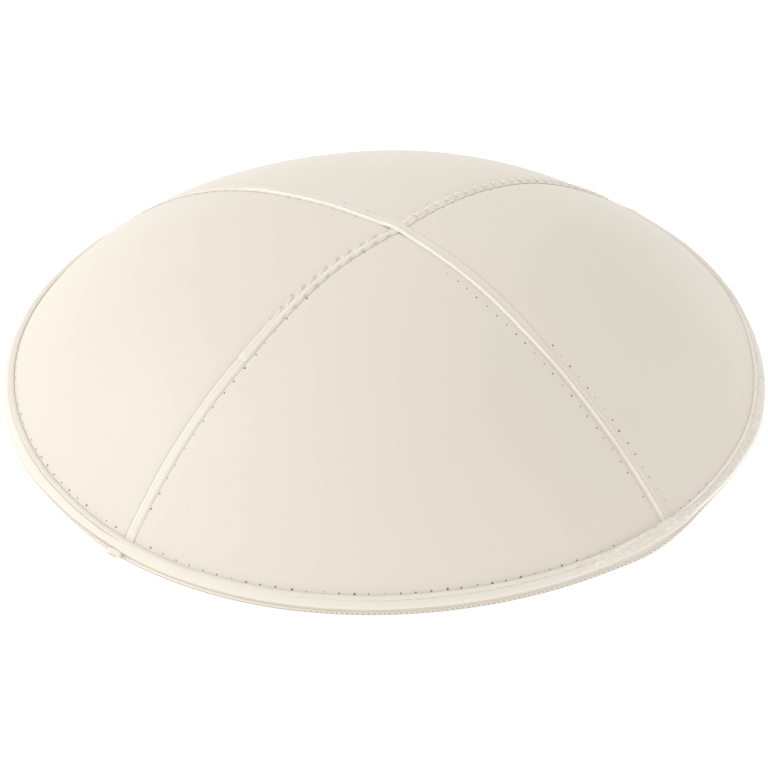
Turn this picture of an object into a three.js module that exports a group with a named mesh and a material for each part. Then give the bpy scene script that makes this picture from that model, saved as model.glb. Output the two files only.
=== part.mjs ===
// A four-panel leather skullcap: a shallow dome sewn from four leather panels, with narrow tapes
// over the seams and a folded binding round the rim. Millimetres, +Z up, +Y towards the back.
// The cap rests on its rim, and the origin is under the middle of its bounding box.
import * as THREE from 'three';

// ---------- Driving dimensions, in mm and degrees ----------

const EDGE_RADIUS = 84.0; // mean plan radius of the leather's lower edge, outside face
const EDGE_HEIGHT = 2.2; // the outside face's lower edge above the surface that the cap rests on
const CROWN_RISE = 43.4; // from that edge to the crown
const CROWN_OFFSET = { x: 3.0, y: -3.1 }; // the crown stands a little off the rim's centre

const LEATHER = 1.2; // thickness of a panel
const GAP = 0.3; // clearance between pieces that touch on the real cap
const FOLD_GAP = 0.45; // the same between the leather's curved edge and the binding's straight legs

const TAPE_WIDTH = 2.7; // seam tapes
const TAPE_THICKNESS = 0.9;
const TAPE_EDGE = 0.55; // thickness at the tape's long edges, where its top rounds off

const BINDING_THICKNESS = 0.9; // rim binding
const BINDING_DEPTH = 2.1; // how far each leg reaches up past the leather's edge
const BINDING_FOOT = 1.6; // width of the flat that it rests on
const LAP_THICKNESS = 0.5; // extra thickness where the binding's ends overlap
const LAP = { from: 304, to: 324, ramp: 3 }; // bearings of that overlap
const LUG = { bearing: 228, reach: 3.0, width: 2.6, tipWidth: 1.5, low: 0.25, high: 1.35 };

// The rim is not quite round: slow waves are added to its radius, each largest at its bearing.
const RIM_WAVES = [
  { waves: 2, height: 0.8, bearing: 40 },
  { waves: 3, height: 0.5, bearing: 84 },
  { waves: 4, height: 0.5, bearing: 66 },
];

// Bearings run anticlockwise from +X. Fullness is how far the section bulges outside a parabola:
// 0 is a parabola, 1 is nearly flat on top and steep at the rim.
const SEAMS = {
  backRight: { bearing: 48, fullness: -0.02 },
  backLeft: { bearing: 142.5, fullness: 0.4 },
  frontLeft: { bearing: 228, fullness: 0.49 },
  frontRight: { bearing: 318, fullness: -0.04 },
};
const FULL_TURN = 360;

// Each panel lies between two seams, anticlockwise. Puff adds fullness along its middle.
const PANELS = [
  { name: 'panel_front', from: SEAMS.frontLeft, to: SEAMS.frontRight, puff: 0.18 },
  { name: 'panel_right', from: SEAMS.frontRight, to: SEAMS.backRight, puff: 0.29 },
  { name: 'panel_back', from: SEAMS.backRight, to: SEAMS.backLeft, puff: -0.22 },
  { name: 'panel_left', from: SEAMS.backLeft, to: SEAMS.frontLeft, puff: 0.3 },
];

// Soft hollows pressed into the leather: plan place, spread and depth.
const HOLLOWS = [{ name: 'beside_front_right_seam', x: 53.5, y: -32.5, spread: 8, depth: 0.7 }];

const PANEL_ROWS = 12; // crown to rim
const PANEL_COLUMNS = 20; // seam to seam
const TAPE_STEPS = 24; // along each half of the long tape, and along each short tape

// ---------- The dome's outside face ----------

const radians = THREE.MathUtils.degToRad;

// Degrees to turn anticlockwise from one bearing to another.
function turnBetween(from, to) {
  return THREE.MathUtils.euclideanModulo(to - from, FULL_TURN);
}

function panelAngle(panel) {
  return turnBetween(panel.from.bearing, panel.to.bearing);
}

function fullnessAt(bearing) {
  const isOver = (each) => turnBetween(each.from.bearing, bearing) <= panelAngle(each);
  const panel = PANELS.find(isOver);
  const along = turnBetween(panel.from.bearing, bearing) / panelAngle(panel);
  const straight = THREE.MathUtils.lerp(panel.from.fullness, panel.to.fullness, along);
  return straight + panel.puff * Math.sin(Math.PI * along);
}

function edgeRadiusAt(bearing) {
  let radius = EDGE_RADIUS;
  for (const wave of RIM_WAVES) {
    radius += wave.height * Math.cos(wave.waves * radians(bearing - wave.bearing));
  }
  return radius;
}

// Height above the resting surface at a fraction of the way from the crown (0) to the edge (1).
function heightOn(fraction, bearing) {
  const fullness = fullnessAt(bearing);
  const parabola = 1 - fraction ** 2;
  const quartic = 1 - fraction ** 4;
  return EDGE_HEIGHT + CROWN_RISE * ((1 - fullness) * parabola + fullness * quartic);
}

function steepnessOn(fraction, bearing) {
  const fullness = fullnessAt(bearing);
  const fall = CROWN_RISE * (2 * (1 - fullness) * fraction + 4 * fullness * fraction ** 3);
  return Math.atan2(fall, edgeRadiusAt(bearing));
}

function hollowAt(x, y) {
  let depth = 0;
  for (const hollow of HOLLOWS) {
    const distance = Math.hypot(x - hollow.x, y - hollow.y) / hollow.spread;
    depth += hollow.depth * Math.exp(-(distance ** 2));
  }
  return depth;
}

function outward(bearing) {
  return new THREE.Vector3(Math.cos(radians(bearing)), Math.sin(radians(bearing)), 0);
}

function domePoint(fraction, bearing) {
  const point = outward(bearing).multiplyScalar(fraction * edgeRadiusAt(bearing));
  point.x += CROWN_OFFSET.x * (1 - fraction ** 2);
  point.y += CROWN_OFFSET.y * (1 - fraction ** 2);
  point.z = heightOn(fraction, bearing) - hollowAt(point.x, point.y);
  return point;
}

// The dome's normal, taken in the upright plane that holds the bearing.
function domeNormal(fraction, bearing) {
  const steepness = steepnessOn(fraction, bearing);
  const normal = outward(bearing).multiplyScalar(Math.sin(steepness));
  normal.z = Math.cos(steepness);
  return normal;
}

// The dome's height over any plan point, found by walking to the fraction that lies over it.
function domeHeightOver(x, y) {
  let fraction = 0;
  let bearing = 0;
  for (let step = 0; step < 8; step++) {
    const dx = x - CROWN_OFFSET.x * (1 - fraction ** 2);
    const dy = y - CROWN_OFFSET.y * (1 - fraction ** 2);
    bearing = THREE.MathUtils.radToDeg(Math.atan2(dy, dx));
    fraction = Math.hypot(dx, dy) / edgeRadiusAt(bearing);
  }
  return heightOn(fraction, bearing) - hollowAt(x, y);
}

// ---------- Closed solids from rows of points ----------

class Solid {
  constructor() {
    this.points = [];
    this.faces = [];
  }

  add(point) {
    return this.points.push(point) - 1;
  }

  triangle(a, b, c) {
    if (a !== b && b !== c && c !== a) this.faces.push([a, b, c]);
  }

  quad(a, b, c, d) {
    this.triangle(a, b, c);
    this.triangle(a, c, d);
  }

  // The faces are all laid the same way round, so the sign of the volume says if they point out.
  geometry() {
    const corner = (index) => this.points[index];
    const cross = new THREE.Vector3();
    let volume = 0;
    for (const [a, b, c] of this.faces) volume += corner(a).dot(cross.crossVectors(corner(b), corner(c)));
    const faces = volume > 0 ? this.faces : this.faces.map(([a, b, c]) => [a, c, b]);
    const geometry = new THREE.BufferGeometry();
    geometry.setAttribute('position', new THREE.Float32BufferAttribute(this.points.flatMap((p) => p.toArray()), 3));
    geometry.setIndex(faces.flat());
    geometry.computeVertexNormals();
    return geometry;
  }
}

// A bar whose cross-section changes along its length. A ring joins its last section to its first.
function sweep(sections, isRing) {
  const solid = new Solid();
  const rows = sections.map((section) => section.map((point) => solid.add(point)));
  const size = rows[0].length;
  const spans = isRing ? rows.length : rows.length - 1;
  for (let i = 0; i < spans; i++) {
    const here = rows[i];
    const next = rows[(i + 1) % rows.length];
    for (let j = 0; j < size; j++) {
      const k = (j + 1) % size;
      solid.quad(here[j], here[k], next[k], next[j]);
    }
  }
  if (!isRing) {
    const first = rows[0];
    const last = rows.at(-1);
    for (let j = 1; j < size - 1; j++) {
      solid.triangle(first[0], first[j + 1], first[j]);
      solid.triangle(last[0], last[j], last[j + 1]);
    }
  }
  return solid.geometry();
}

// ---------- Panels ----------

// A panel's outside and inside faces are grids that fan out from its tip at the crown. Its tip is
// slid out along its middle and its long edges are pulled in, so that each seam keeps its gap.
function panelGeometry(panel) {
  const from = panel.from.bearing;
  const half = panelAngle(panel) / 2;
  const slide = outward(from + half).multiplyScalar(GAP / 2 / Math.sin(radians(half)));
  const solid = new Solid();

  const addFace = (depth) => {
    const grid = [];
    for (let i = 0; i <= PANEL_ROWS; i++) {
      const fraction = i / PANEL_ROWS;
      const row = [];
      for (let j = 0; j <= PANEL_COLUMNS; j++) {
        if (i === 0 && j > 0) {
          row.push(row[0]);
          continue;
        }
        const along = j / PANEL_COLUMNS;
        const bearing = from + 2 * half * along;
        const point = domePoint(fraction, bearing);
        point.addScaledVector(domeNormal(fraction, bearing), -depth);
        point.addScaledVector(slide, 1 - fraction);
        point.addScaledVector(outward(bearing + 90), fraction * (GAP / 2) * (1 - 2 * along));
        row.push(solid.add(point));
      }
      grid.push(row);
    }
    return grid;
  };
  const outside = addFace(0);
  const inside = addFace(LEATHER);

  for (let i = 0; i < PANEL_ROWS; i++) {
    for (let j = 0; j < PANEL_COLUMNS; j++) {
      solid.quad(outside[i][j], outside[i + 1][j], outside[i + 1][j + 1], outside[i][j + 1]);
      solid.quad(inside[i][j], inside[i][j + 1], inside[i + 1][j + 1], inside[i + 1][j]);
    }
    const last = PANEL_COLUMNS;
    solid.quad(outside[i][0], inside[i][0], inside[i + 1][0], outside[i + 1][0]);
    solid.quad(outside[i][last], outside[i + 1][last], inside[i + 1][last], inside[i][last]);
  }
  const rim = PANEL_ROWS;
  for (let j = 0; j < PANEL_COLUMNS; j++) {
    solid.quad(outside[rim][j], inside[rim][j], inside[rim][j + 1], outside[rim][j + 1]);
  }
  return solid.geometry();
}

// ---------- Seam tapes ----------

// The tape's section, as [across, lift]: a flat strip with rounded top edges. Its underside
// follows the leather, so the lift is measured from the dome under each point.
const TAPE_SECTION = [
  [0, GAP],
  [TAPE_WIDTH / 2, GAP],
  [TAPE_WIDTH / 2, GAP + TAPE_EDGE],
  [TAPE_WIDTH / 4, GAP + TAPE_THICKNESS],
  [-TAPE_WIDTH / 4, GAP + TAPE_THICKNESS],
  [-TAPE_WIDTH / 2, GAP + TAPE_EDGE],
  [-TAPE_WIDTH / 2, GAP],
];

function tapeSection(fraction, bearing, across) {
  const centre = domePoint(fraction, bearing);
  const normal = domeNormal(fraction, bearing);
  return TAPE_SECTION.map(([side, lift]) => {
    const point = centre.clone().addScaledVector(across, side);
    point.z = domeHeightOver(point.x, point.y);
    return point.addScaledVector(normal, lift);
  });
}

// A tape stops short of the binding's top edge.
function footFraction(bearing) {
  const steepness = steepnessOn(1, bearing);
  const covered = (BINDING_DEPTH + 2 * GAP) * Math.cos(steepness);
  return 1 - covered / edgeRadiusAt(bearing);
}

function shortTape(seam) {
  const start = (TAPE_WIDTH / 2 + 1.3 * GAP) / edgeRadiusAt(seam.bearing);
  const foot = footFraction(seam.bearing);
  const across = outward(seam.bearing + 90);
  const sections = [];
  for (let i = 0; i <= TAPE_STEPS; i++) {
    const fraction = THREE.MathUtils.lerp(start, foot, i / TAPE_STEPS);
    sections.push(tapeSection(fraction, seam.bearing, across));
  }
  return sweep(sections, false);
}

// The long tape runs up one seam and down the opposite one without a break.
function longTape(up, down) {
  const across = outward((up.bearing + down.bearing) / 2);
  const sections = [];
  for (let i = TAPE_STEPS; i > 0; i--) {
    sections.push(tapeSection((footFraction(up.bearing) * i) / TAPE_STEPS, up.bearing, across));
  }
  for (let i = 0; i <= TAPE_STEPS; i++) {
    sections.push(tapeSection((footFraction(down.bearing) * i) / TAPE_STEPS, down.bearing, across));
  }
  return sweep(sections, false);
}

// ---------- Rim binding ----------

// How much a feature between two bearings shows here: 1 inside, 0 outside, with straight ramps.
function between(bearing, from, to, ramp) {
  return THREE.MathUtils.clamp(Math.min(bearing - from, to - bearing) / ramp, 0, 1);
}

// The section is a U round the leather's edge. Its upper points are placed down the slope and out
// from the leather's outside face, and its foot is flat on the resting surface.
function bindingSection(bearing) {
  const edge = domePoint(1, bearing);
  const steepness = steepnessOn(1, bearing);
  const away = outward(bearing);
  const down = away.clone().multiplyScalar(Math.cos(steepness)).setZ(-Math.sin(steepness));
  const out = away.clone().multiplyScalar(Math.sin(steepness)).setZ(Math.cos(steepness));
  const at = (slope, lift) => edge.clone().addScaledVector(down, slope).addScaledVector(out, lift);
  const onFloor = (point, reach) => point.clone().addScaledVector(away, reach).setZ(0);

  const lap = LAP_THICKNESS * between(bearing, LAP.from, LAP.to, LAP.ramp);
  const round = BINDING_THICKNESS * 0.4;
  const face = FOLD_GAP + BINDING_THICKNESS + lap;
  const inner = -LEATHER - FOLD_GAP;
  const lining = inner - BINDING_THICKNESS;
  const heel = at(GAP + BINDING_THICKNESS, lining);
  const noseHigh = at(GAP, face);
  const noseLow = at(GAP + BINDING_THICKNESS - round, face - round);

  const lug = lugAt(bearing);
  if (lug > 0) {
    noseHigh.addScaledVector(away, LUG.reach * lug).setZ(LUG.high);
    noseLow.addScaledVector(away, LUG.reach * lug).setZ(LUG.low);
  }
  return [
    at(-BINDING_DEPTH, FOLD_GAP),
    at(-BINDING_DEPTH, face - round),
    at(-BINDING_DEPTH + round, face),
    noseHigh,
    noseLow,
    onFloor(heel, BINDING_FOOT),
    onFloor(heel, 0),
    at(-BINDING_DEPTH, lining),
    at(-BINDING_DEPTH, inner),
    at(GAP, inner),
    at(GAP, FOLD_GAP),
  ];
}

// The lug is a small tab of the binding: full reach across its tip, none past its sides.
function lugAt(bearing) {
  const offset = radians(Math.abs(bearing - LUG.bearing)) * edgeRadiusAt(LUG.bearing);
  const slant = (LUG.width - LUG.tipWidth) / 2;
  return THREE.MathUtils.clamp((LUG.width / 2 - offset) / slant, 0, 1);
}

// Sections stand at the panels' own columns, so both bend at the same places, and at each corner
// of the lap and the lug.
function bindingBearings() {
  const bearings = [];
  for (const panel of PANELS) {
    const step = panelAngle(panel) / PANEL_COLUMNS;
    for (let j = 0; j < PANEL_COLUMNS; j++) bearings.push((panel.from.bearing + step * j) % FULL_TURN);
  }
  const perMillimetre = THREE.MathUtils.radToDeg(1 / edgeRadiusAt(LUG.bearing));
  for (const side of [LUG.tipWidth / 2, LUG.width / 2]) {
    bearings.push(LUG.bearing + side * perMillimetre, LUG.bearing - side * perMillimetre);
  }
  bearings.push(LAP.from, LAP.from + LAP.ramp, LAP.to - LAP.ramp, LAP.to);
  return bearings.sort((a, b) => a - b);
}

// ---------- Assembly ----------

// Smooth cream leather: the panels share one finish, the tapes and binding a paler one.
function panelLeather() {
  return new THREE.MeshStandardMaterial({ color: 0xe8e0d2, roughness: 0.7, metalness: 0 });
}

function trimLeather() {
  return new THREE.MeshStandardMaterial({ color: 0xefe7da, roughness: 0.65, metalness: 0 });
}

const cap = new THREE.Group();

function addPiece(name, geometry, material) {
  const mesh = new THREE.Mesh(geometry, material);
  mesh.name = name;
  cap.add(mesh);
}

for (const panel of PANELS) addPiece(panel.name, panelGeometry(panel), panelLeather());
addPiece('seam_tape_long', longTape(SEAMS.frontRight, SEAMS.backLeft), trimLeather());
addPiece('seam_tape_front_left', shortTape(SEAMS.frontLeft), trimLeather());
addPiece('seam_tape_back_right', shortTape(SEAMS.backRight), trimLeather());
addPiece('rim_binding', sweep(bindingBearings().map(bindingSection), true), trimLeather());

// Centre the bounding box over the origin.
const middle = new THREE.Box3().setFromObject(cap).getCenter(new THREE.Vector3());
cap.position.set(-middle.x, -middle.y, 0);

export default cap;
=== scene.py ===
import bpy
import numpy as np
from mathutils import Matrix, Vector


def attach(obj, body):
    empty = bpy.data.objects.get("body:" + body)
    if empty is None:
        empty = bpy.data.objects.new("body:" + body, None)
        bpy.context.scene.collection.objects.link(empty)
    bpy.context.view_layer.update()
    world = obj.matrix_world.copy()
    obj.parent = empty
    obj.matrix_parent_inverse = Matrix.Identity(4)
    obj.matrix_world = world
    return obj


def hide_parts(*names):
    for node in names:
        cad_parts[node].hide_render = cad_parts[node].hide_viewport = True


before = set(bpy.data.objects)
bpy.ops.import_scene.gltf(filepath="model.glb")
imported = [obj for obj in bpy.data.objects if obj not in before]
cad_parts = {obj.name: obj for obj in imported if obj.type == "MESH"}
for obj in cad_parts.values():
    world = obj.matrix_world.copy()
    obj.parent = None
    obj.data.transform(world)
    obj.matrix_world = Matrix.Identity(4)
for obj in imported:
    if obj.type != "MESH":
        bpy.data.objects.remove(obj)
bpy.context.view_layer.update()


# ---------- Floor, lamps and camera ----------
# The cap stands on a wide sheet of white paper under a white tent. One big soft lamp to its left
# makes the left panels a little brighter than the right ones. The camera looks down from the front.

FLOOR_HALF = 3.0  # metres
PAPER_WHITE = (0.75, 0.75, 0.75, 1.0)
TENT_GLOW = 0.857
FLOOR_GLOW = 0.54  # the white floor is lit a little from beneath
LAMP_PLACE = (-1.5, 0.02, 1.1)
LAMP_SIZE = 1.1
LAMP_WATTS = 9.7
CAMERA_ELEVATION = np.radians(36.2)
CAMERA_DISTANCE = 2.2
CAMERA_LENS = 461.9  # millimetres, on a sensor 36 wide
LOOK_AT = Vector((0.0, -0.00491, 0.00396))


def add_object(name, data):
    item = bpy.data.objects.new(name, data)
    bpy.context.scene.collection.objects.link(item)
    return item


paper = bpy.data.materials.new("white_paper")
paper.use_nodes = True
paper_shader = paper.node_tree.nodes["Principled BSDF"]
paper_shader.inputs["Base Color"].default_value = PAPER_WHITE
paper_shader.inputs["Roughness"].default_value = 0.9
paper_shader.inputs["Specular IOR Level"].default_value = 0.0
paper_shader.inputs["Emission Color"].default_value = (1.0, 1.0, 1.0, 1.0)
paper_shader.inputs["Emission Strength"].default_value = FLOOR_GLOW

floor_mesh = bpy.data.meshes.new("paper_floor")
corners = [(FLOOR_HALF * x, FLOOR_HALF * y, 0.0) for x, y in ((-1, -1), (1, -1), (1, 1), (-1, 1))]
floor_mesh.from_pydata(corners, [], [(0, 1, 2, 3)])
floor_mesh.materials.append(paper)
add_object("paper_floor", floor_mesh)

tent = bpy.data.worlds.new("white_tent")
tent.use_nodes = True
tent.node_tree.nodes["Background"].inputs["Color"].default_value = (1.0, 1.0, 1.0, 1.0)
tent.node_tree.nodes["Background"].inputs["Strength"].default_value = TENT_GLOW
bpy.context.scene.world = tent

lamp_data = bpy.data.lights.new("soft_lamp", "AREA")
lamp_data.shape = "DISK"
lamp_data.size = LAMP_SIZE
lamp_data.energy = LAMP_WATTS
lamp = add_object("soft_lamp", lamp_data)
lamp.location = LAMP_PLACE
lamp.rotation_mode = "QUATERNION"
lamp.rotation_quaternion = (-Vector(LAMP_PLACE)).to_track_quat("-Z", "Y")
lamp.visible_camera = False

camera = add_object("camera", bpy.data.cameras.new("camera"))
camera.data.sensor_width = 36.0
camera.data.lens = CAMERA_LENS
camera.data.clip_start = 0.05
camera.data.clip_end = 20.0
camera_back = Vector((0.0, -np.cos(CAMERA_ELEVATION), np.sin(CAMERA_ELEVATION)))
camera.location = LOOK_AT + camera_back * CAMERA_DISTANCE
camera.rotation_mode = "QUATERNION"
camera.rotation_quaternion = (-camera_back).to_track_quat("-Z", "Y")
bpy.context.scene.camera = camera
bpy.context.scene.view_settings.view_transform = "Standard"


# ---------- Panels ----------
# Four pieces of smooth cream leather, 1.2 mm thick, cut as quarters of a shallow dome. Each is drawn
# down along its seams and round the rim, where the stitches pull. Sizes are in mm until a mesh is made.

RIM_CENTRE = np.array([-0.1612, 0.4887])  # the middle of the rim stands this far from the dome's
EDGE_RADIUS = 84.0
EDGE_HEIGHT = 2.2
CROWN_RISE = 43.4
CROWN_OFFSET = np.array([3.0, -3.1])
LEATHER = 1.2
SEAM_GAP = 0.3
RIM_WAVES = [
    {"waves": 2, "height": 0.8, "bearing": 40},
    {"waves": 3, "height": 0.5, "bearing": 84},
    {"waves": 4, "height": 0.5, "bearing": 66},
]
RIM_BULGE = {"bearing": 30.0, "spread": 20.0, "height": 0.95}
# Pitch is between stitches. Drift is how far the sewn line strays to one side of a straight seam: each
# step is (mm down the seam, mm to the side, anticlockwise seen from above).
SEAMS = {
    "back_right": {
        "bearing": 48.0, "fullness": 0.03, "pitch": 3.5,
        "drift": [(0, 0.0), (12, 0.5), (24, 0.9), (40, 1.2), (60, 1.2), (80, 0.8), (92, 0.5)],
    },
    "back_left": {
        "bearing": 142.5, "fullness": 0.4, "pitch": 3.2,
        "drift": [(0, 0.0), (30, 0.2), (60, -0.2), (92, 0.0)],
    },
    "front_left": {
        "bearing": 228.0, "fullness": 0.49, "pitch": 3.72,
        "drift": [(0, 0.0), (4, -0.5), (8, -1.1), (14, -1.5), (20, -1.65), (27, -1.45), (34, -1.0),
                  (42, -0.5), (50, 0.0), (92, 0.05)],
    },
    "front_right": {
        "bearing": 318.0, "fullness": -0.04, "pitch": 3.0,
        "drift": [(0, 0.0), (45, 0.0), (60, 0.25), (72, 0.5), (85, 0.6), (92, 0.4)],
    },
}
PANELS = [
    {"name": "panel_front", "from": "front_left", "to": "front_right", "puff": 0.18},
    {"name": "panel_right", "from": "front_right", "to": "back_right", "puff": 0.29},
    {"name": "panel_back", "from": "back_right", "to": "back_left", "puff": -0.18},
    {"name": "panel_left", "from": "back_left", "to": "front_left", "puff": 0.3},
]
HOLLOW = {"x": 53.5, "y": -32.5, "spread": 8.0, "depth": 0.7}
CREASE = {"x": 63.0, "y": 34.0, "length": 4.0, "width": 1.1, "bearing": 20.0, "depth": 0.22}
PANEL_ROWS = 104
PANEL_COLUMNS = 112
RIM_STITCHES = 152
BAND_REACH = 2.1  # up the slope from the leather's edge to the binding's edge, at the front
BAND_REACH_LEFT = 3.0  # the same at the left side, where the binding was pulled higher
HOLES_ABOVE_BAND = 0.62
TAPE_WIDTH = 2.7


def fade(value, low, high):
    """0 below low, 1 above high, smooth between."""
    share = np.clip((value - low) / (high - low), 0.0, 1.0)
    return share * share * (3 - 2 * share)


def peak(value, middle, width):
    """A smooth bump of height 1."""
    return np.exp(-(((value - middle) / width) ** 2))


def turn_from(bearing, centre):
    """Degrees from the centre bearing, between -180 and 180."""
    return (bearing - centre + 180) % 360 - 180


def fullness_at(bearing):
    fullness = np.zeros(np.shape(bearing))
    for panel in PANELS:
        first, last = SEAMS[panel["from"]], SEAMS[panel["to"]]
        angle = (last["bearing"] - first["bearing"]) % 360
        along = ((bearing - first["bearing"]) % 360) / angle
        straight = first["fullness"] + (last["fullness"] - first["fullness"]) * along
        here = straight + panel["puff"] * np.sin(np.pi * np.clip(along, 0, 1))
        fullness = np.where(along <= 1.0, here, fullness)
    return fullness


def edge_radius_at(bearing):
    radius = EDGE_RADIUS
    for wave in RIM_WAVES:
        radius += wave["height"] * np.cos(wave["waves"] * np.radians(bearing - wave["bearing"]))
    apart = turn_from(bearing, RIM_BULGE["bearing"])
    return radius + RIM_BULGE["height"] * peak(apart, 0, RIM_BULGE["spread"])


def outward(bearing):
    turned = np.radians(bearing)
    return np.stack([np.cos(turned), np.sin(turned), np.zeros(np.shape(turned))], -1)


def plan_on(fraction, bearing):
    """Where a point of the dome stands in plan; the crown leans off the middle of the rim."""
    plan = outward(bearing)[..., :2] * (fraction * edge_radius_at(bearing))[..., None]
    return plan + CROWN_OFFSET * (1 - fraction**2)[..., None]


def height_on(fraction, bearing):
    fullness = fullness_at(bearing)
    return EDGE_HEIGHT + CROWN_RISE * ((1 - fullness) * (1 - fraction**2) + fullness * (1 - fraction**4))


def steepness_on(fraction, bearing):
    fullness = fullness_at(bearing)
    fall = CROWN_RISE * (2 * (1 - fullness) * fraction + 4 * fullness * fraction**3)
    return np.arctan2(fall, edge_radius_at(bearing))


def dome_normal(fraction, bearing):
    steep = steepness_on(fraction, bearing)
    normal = outward(bearing) * np.sin(steep)[..., None]
    normal[..., 2] = np.cos(steep)
    return normal


def seam_run(seam):
    """Fractions down a seam, and how far along the leather each is from the crown."""
    fraction = np.linspace(0, 1, 241)
    bearing = np.full(241, seam["bearing"])
    line = np.column_stack([plan_on(fraction, bearing), height_on(fraction, bearing)])
    steps = np.linalg.norm(np.diff(line, axis=0), axis=1)
    return fraction, np.concatenate([[0.0], np.cumsum(steps)])


for seam in SEAMS.values():
    seam["fractions"], seam["run"] = seam_run(seam)


def drift_at(seam, run):
    """How far the sewn line strays to the side there, with its steps smoothed."""
    steps = np.array(seam["drift"])
    spread = [np.interp(run + ahead, steps[:, 0], steps[:, 1]) for ahead in (-4, -2, 0, 2, 4)]
    return sum(spread) / len(spread) * fade(run, 0.0, 4.0)


def band_reach_at(bearing):
    left = fade(turn_from(bearing, 170.0), -75, -45) * (1 - fade(turn_from(bearing, 170.0), 35, 72))
    back = 1 - fade(np.abs(turn_from(bearing, 42.0)), 18, 38)
    right = 1 - fade(np.abs(turn_from(bearing, 348.0)), 14, 26)
    return BAND_REACH + (BAND_REACH_LEFT - BAND_REACH) * left - 0.5 * back + 0.45 * right


def hole_line_at(bearing):
    """Up the slope from the leather's edge to the row of needle holes."""
    return band_reach_at(bearing) + HOLES_ABOVE_BAND + 0.35 * peak(turn_from(bearing, 222.0), 0, 12)


def edge_steepness_at(bearing):
    return steepness_on(np.ones(np.shape(bearing)), bearing)


def slope_above_edge(fraction, bearing):
    """How far up the slope from the leather's lower edge a point lies."""
    return (1 - fraction) * edge_radius_at(bearing) / np.cos(edge_steepness_at(bearing))


def fraction_above_edge(above, bearing):
    """The fraction of a point that far up the slope."""
    return 1 - above * np.cos(edge_steepness_at(bearing)) / edge_radius_at(bearing)


def relief_on(fraction, bearing, x, y):
    """What sewing and wear add to the plain dome's height."""
    rise = np.zeros(np.shape(x))
    for seam in SEAMS.values():
        turned = np.radians(bearing - seam["bearing"])
        reach = fraction * edge_radius_at(bearing)
        down_seam = reach * np.cos(turned)
        run = np.interp(fraction, seam["fractions"], seam["run"])
        side = np.abs(reach * np.sin(turned) - drift_at(seam, run))
        shows = fade(down_seam, 2.0, 9.0)
        drawn_down = -0.10 * peak(np.clip(side - 1.2, 0, None), 0, 1.1)
        roll = 0.05 * peak(side, 3.9, 1.8)
        pulls = -0.04 * np.cos(2 * np.pi * run / seam["pitch"]) * peak(side, 1.9, 1.0)
        rise += shows * (drawn_down + roll + pulls)
    above = slope_above_edge(fraction, bearing)
    turns = np.cos(np.radians(bearing) * RIM_STITCHES)
    dip = 0.14 - 0.10 * (1 - fade(np.abs(turn_from(bearing, 12.0)), 50, 62))
    rise -= dip * peak(np.clip(above - band_reach_at(bearing) - 0.3, 0, None), 0, 1.1)
    rise += 0.08 * peak(above, 6.0, 2.2)
    rise -= 0.04 * turns * peak(above, hole_line_at(bearing), 1.0)
    apart = np.hypot(x - HOLLOW["x"], y - HOLLOW["y"])
    rise -= HOLLOW["depth"] * peak(apart, 0, HOLLOW["spread"])
    turned = np.radians(CREASE["bearing"])
    dx, dy = x - CREASE["x"], y - CREASE["y"]
    along = (dx * np.cos(turned) + dy * np.sin(turned)) / CREASE["length"]
    across = (dy * np.cos(turned) - dx * np.sin(turned)) / CREASE["width"]
    rise -= CREASE["depth"] * np.exp(-(along**2) - across**2)
    slack = np.sin(x / 7.3 + 1.1) * np.sin(y / 8.9 + 0.4) + np.sin((x + y) / 12.7 + 2.0)
    return rise + 0.05 * slack * fade(above, 2.0, 12.0)


def leather_point(fraction, bearing):
    """A point on the leather's outside face, in mm from the dome's middle."""
    x, y = np.moveaxis(plan_on(fraction, bearing), -1, 0)
    return np.stack([x, y, height_on(fraction, bearing) + relief_on(fraction, bearing, x, y)], -1)


def leather_over(x, y):
    """The fraction, bearing and height of the leather at a plan point."""
    fraction = np.zeros(np.shape(x))
    bearing = np.zeros(np.shape(x))
    for _ in range(8):
        dx = x - CROWN_OFFSET[0] * (1 - fraction**2)
        dy = y - CROWN_OFFSET[1] * (1 - fraction**2)
        bearing = np.degrees(np.arctan2(dy, dx))
        fraction = np.hypot(dx, dy) / edge_radius_at(bearing)
    return fraction, bearing, height_on(fraction, bearing) + relief_on(fraction, bearing, x, y)


def to_frame(points):
    """Millimetres from the dome's middle to metres in the frame."""
    placed = np.array(points, float).reshape(-1, 3)
    placed[:, :2] -= RIM_CENTRE
    return placed / 1000.0


def solid_object(name, points, faces, face_materials=None, materials=(), wear_and_painted_light=None):
    """A closed mesh from points in mm. All its faces turn the same way, and the sign of the volume they
    hold says if that is outward."""
    placed = to_frame(points)
    volume = 0.0
    for face in faces:
        for i in range(1, len(face) - 1):
            volume += placed[face[0]] @ np.cross(placed[face[i]], placed[face[i + 1]])
    if volume < 0:
        faces = [face[::-1] for face in faces]
    mesh = bpy.data.meshes.new(name)
    mesh.from_pydata(placed.tolist(), [], faces)
    for material in materials:
        mesh.materials.append(material)
    if face_materials is not None:
        mesh.polygons.foreach_set("material_index", np.array(face_materials, np.int32))
    if wear_and_painted_light is not None:
        attribute = mesh.attributes.new("wear_and_painted_light", "FLOAT", "POINT")
        attribute.data.foreach_set("value", np.ravel(wear_and_painted_light).astype(np.float32))
    mesh.shade_smooth()
    mesh.update()
    return add_object(name, mesh)


# Paler tint for rubbed wear and for painted highlights; darker tint for soil and for painted shade.
RUBBED_AND_HIGHLIGHT_CREAM = (0.99, 0.95, 0.875, 1.0)
SOILED_AND_SHADE_CREAM = (0.47, 0.395, 0.30, 1.0)
GRAIN_DEPTH = 0.00006  # metres
POLISH_SWING = 0.06


def add_node(tree, kind, inputs, **settings):
    """A new node of a tree. Each input is a value, or the output of another node that feeds it."""
    node = tree.nodes.new(kind)
    for name, value in settings.items():
        setattr(node, name, value)
    for name, value in inputs.items():
        if isinstance(value, bpy.types.NodeSocket):
            tree.links.new(value, node.inputs[name])
        else:
            node.inputs[name].default_value = value
    return node


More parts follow.
